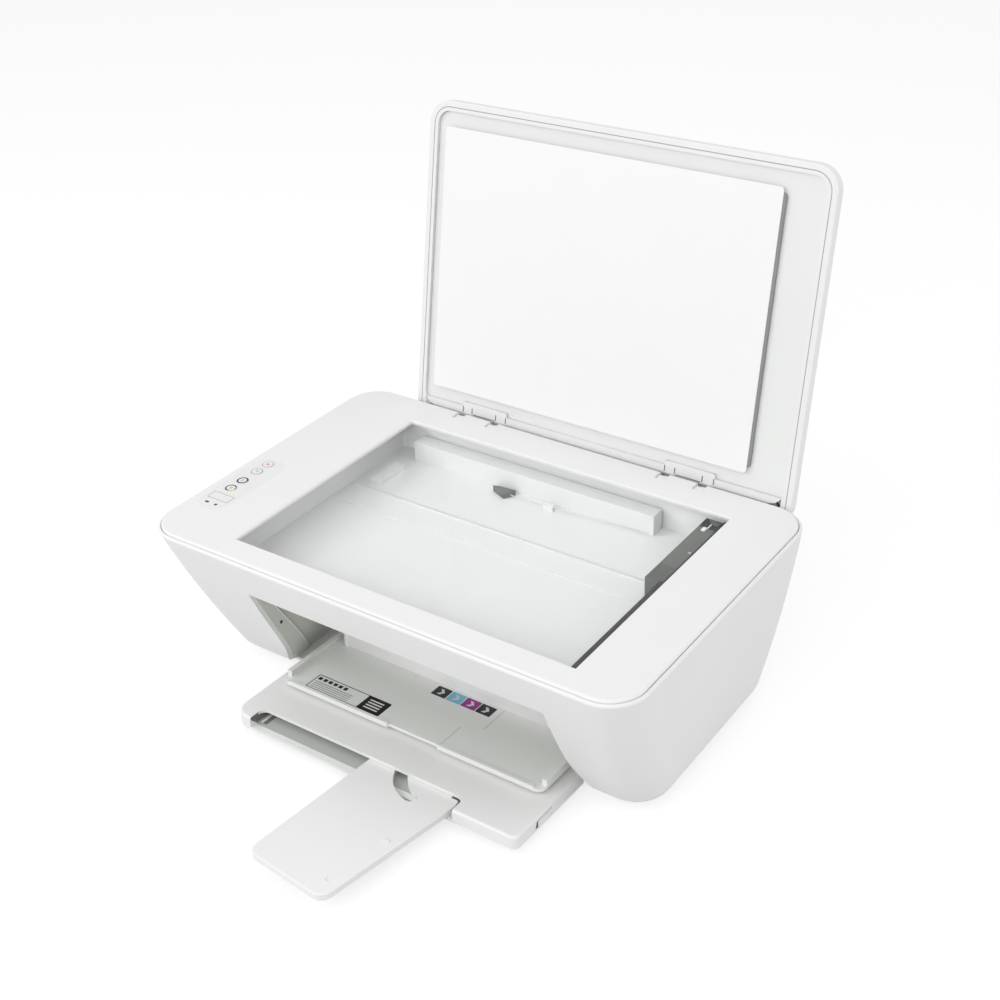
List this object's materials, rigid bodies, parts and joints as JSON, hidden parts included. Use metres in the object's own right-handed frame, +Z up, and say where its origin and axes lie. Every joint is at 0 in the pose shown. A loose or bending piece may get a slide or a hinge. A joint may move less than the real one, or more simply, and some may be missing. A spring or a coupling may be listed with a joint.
{
  "type": "inkjet printer",
  "caption": "All-in-one inkjet printer with its flatbed lid raised, cartridge door lowered, output tray and swing-out paper extender, sheet feed at the rear and a full print engine inside.",
  "frame": {"origin": "middle of the footprint at table level, with the lid raised and the extender swung out", "axes": "+X to the right seen from the front, +Y to the rear, +Z up"},
  "size_m": [0.4248, 0.4692, 0.389],
  "materials": {
    "white_plastic": "satin",
    "inner_white": "matte",
    "bay_grey": "satin",
    "dark_plastic": "satin",
    "tub_plastic": "matte",
    "scan_glass": "gloss",
    "sensor_lens": "gloss",
    "overlay_grey": "satin",
    "display_plastic": "gloss",
    "lens_clear": "gloss",
    "button_plastic": "satin",
    "board_green": "satin",
    "pad_white": "matte",
    "foam_grey": "matte",
    "steel": "brushed",
    "sheet_steel": "satin",
    "roller_rubber": "matte",
    "gear_plastic": "satin",
    "brass": "satin",
    "cartridge_black": "matte",
    "cartridge_grey": "matte",
    "foot_rubber": "matte"
  },
  "bodies": {
    "printer": {"lower_case": "white_plastic", "rubber_feet": "foot_rubber", "bay_liner": "bay_grey", "scanner_deck": "white_plastic", "scanner_glass": "scan_glass", "scan_tub": "tub_plastic", "scan_rail": "tub_plastic", "tension_arm": "dark_plastic", "control_overlay": "overlay_grey", "display_module": "display_plastic", "indicator_lights": "lens_clear", "panel_board": "board_green", "hinge_blocks": "white_plastic", "output_tray": "white_plastic", "side_plate_left": "sheet_steel", "side_plate_right": "sheet_steel", "roller_bars": "dark_plastic", "feed_motor": "steel", "platen": "dark_plastic", "carriage_rod": "steel", "cross_beam": "sheet_steel", "carriage_belt": "roller_rubber", "carriage_motor": "steel", "service_station": "dark_plastic", "rear_cover": "white_plastic", "feed_chute": "bay_grey", "main_board": "board_green", "power_supply": "board_green", "tub_screws": "steel"},
    "lid": {"lid_shell": "white_plastic", "lid_liner": "inner_white", "pad_foam": "foam_grey", "pad_sheet": "pad_white", "lid_hinges": "white_plastic", "hinge_pins": "steel"},
    "door": {"cartridge_door": "bay_grey"},
    "extender": {"tray_extender": "white_plastic"},
    "color_copy": {"color_copy_button": "button_plastic"},
    "black_copy": {"black_copy_button": "button_plastic"},
    "link": {"link_button": "button_plastic"},
    "cancel": {"cancel_button": "button_plastic"},
    "head": {"scan_head": "dark_plastic", "scan_sensor": "sensor_lens"},
    "carriage": {"carriage": "dark_plastic", "black_cartridge": "cartridge_black", "color_cartridge": "cartridge_grey"},
    "left_pulley": {"drive_pulley": "gear_plastic"},
    "right_pulley": {"idler_pulley": "gear_plastic"},
    "feed": {"feed_roller": "roller_rubber", "feed_gear": "gear_plastic"},
    "idler": {"idler_gear": "gear_plastic"},
    "output": {"output_roller": "dark_plastic", "output_gear": "gear_plastic"},
    "pinion": {"motor_pinion": "brass"},
    "pinch": {"pinch_rollers": "dark_plastic"},
    "stars": {"star_wheels": "steel"},
    "pick": {"pick_roller": "roller_rubber"},
    "support": {"paper_support": "white_plastic"},
    "guide": {"paper_width_guide": "bay_grey"}
  },
  "joints": [
    {"name": "lid_hinge", "type": "hinge", "parent": "printer", "child": "lid", "pos_m": [0.0055, 0.16673, 0.1315], "axis": [1, 0, 0], "range_deg": [0, 100]},
    {"name": "door_hinge", "type": "hinge", "parent": "printer", "child": "door", "pos_m": [0.0095, 0.01673, 0.013], "axis": [-1, 0, 0], "range_deg": [0, 57]},
    {"name": "extender_swing", "type": "hinge", "parent": "printer", "child": "extender", "pos_m": [0.0565, -0.09367, 0.01545], "axis": [0, 0.0436, 0.999], "range_deg": [-84, 6]},
    {"name": "color_copy_press", "type": "slide", "parent": "printer", "child": "color_copy", "axis": [0, 0, -1], "range_m": [0, 0.0007], "stiffness_N_per_m": 1000, "springref_m": -0.0005},
    {"name": "black_copy_press", "type": "slide", "parent": "printer", "child": "black_copy", "axis": [0, 0, -1], "range_m": [0, 0.0007], "stiffness_N_per_m": 1000, "springref_m": -0.0005},
    {"name": "link_press", "type": "slide", "parent": "printer", "child": "link", "axis": [0, 0, -1], "range_m": [0, 0.0007], "stiffness_N_per_m": 1000, "springref_m": -0.0005},
    {"name": "cancel_press", "type": "slide", "parent": "printer", "child": "cancel", "axis": [0, 0, -1], "range_m": [0, 0.0007], "stiffness_N_per_m": 1000, "springref_m": -0.0005},
    {"name": "head_slide", "type": "slide", "parent": "printer", "child": "head", "axis": [1, 0, 0], "range_m": [-0.29, 0]},
    {"name": "carriage_slide", "type": "slide", "parent": "printer", "child": "carriage", "axis": [1, 0, 0], "range_m": [-0.25, 0]},
    {"name": "left_pulley_spin", "type": "hinge", "parent": "printer", "child": "left_pulley", "pos_m": [-0.158, 0.10693, 0.08], "axis": [0, 1, 0], "range_deg": [-10, 2090]},
    {"name": "right_pulley_spin", "type": "hinge", "parent": "printer", "child": "right_pulley", "pos_m": [0.162, 0.10693, 0.08], "axis": [0, 1, 0], "range_deg": [-10, 2090]},
    {"name": "feed_spin", "type": "hinge", "parent": "printer", "child": "feed", "pos_m": [0.0095, 0.07673, 0.018], "axis": [1, 0, 0], "continuous": true},
    {"name": "idler_spin", "type": "hinge", "parent": "printer", "child": "idler", "pos_m": [-0.171, 0.0504, 0.024], "axis": [1, 0, 0], "continuous": true},
    {"name": "output_spin", "type": "hinge", "parent": "printer", "child": "output", "pos_m": [0.0095, 0.02717, 0.018], "axis": [1, 0, 0], "continuous": true},
    {"name": "pinion_spin", "type": "hinge", "parent": "printer", "child": "pinion", "pos_m": [-0.171, 0.09123, 0.02476], "axis": [1, 0, 0], "continuous": true},
    {"name": "pinch_spin", "type": "hinge", "parent": "printer", "child": "pinch", "pos_m": [0.0095, 0.07673, 0.02865], "axis": [1, 0, 0], "continuous": true},
    {"name": "star_spin", "type": "hinge", "parent": "printer", "child": "stars", "pos_m": [0.0095, 0.02717, 0.0275], "axis": [1, 0, 0], "continuous": true},
    {"name": "pick_spin", "type": "hinge", "parent": "printer", "child": "pick", "pos_m": [0.0095, 0.1301, 0.07653], "axis": [1, 0, 0], "continuous": true},
    {"name": "support_fold", "type": "hinge", "parent": "printer", "child": "support", "pos_m": [0.0095, 0.20043, 0.112], "axis": [1, 0, 0], "range_deg": [0, 160]},
    {"name": "guide_slide", "type": "slide", "parent": "printer", "child": "guide", "axis": [1, 0, 0], "range_m": [0, 0.08]}
  ],
  "couplings": [
    {"joint": "left_pulley_spin", "follows": "carriage_slide", "rad_per_m": -144.93},
    {"joint": "right_pulley_spin", "follows": "carriage_slide", "rad_per_m": -144.93},
    {"joint": "idler_spin", "follows": "feed_spin", "ratio": -0.6875},
    {"joint": "output_spin", "follows": "feed_spin", "ratio": 1.375},
    {"joint": "pinion_spin", "follows": "feed_spin", "ratio": -2.2},
    {"joint": "pinch_spin", "follows": "feed_spin", "ratio": -1.625},
    {"joint": "star_spin", "follows": "feed_spin", "ratio": -2.5781}
  ]
}
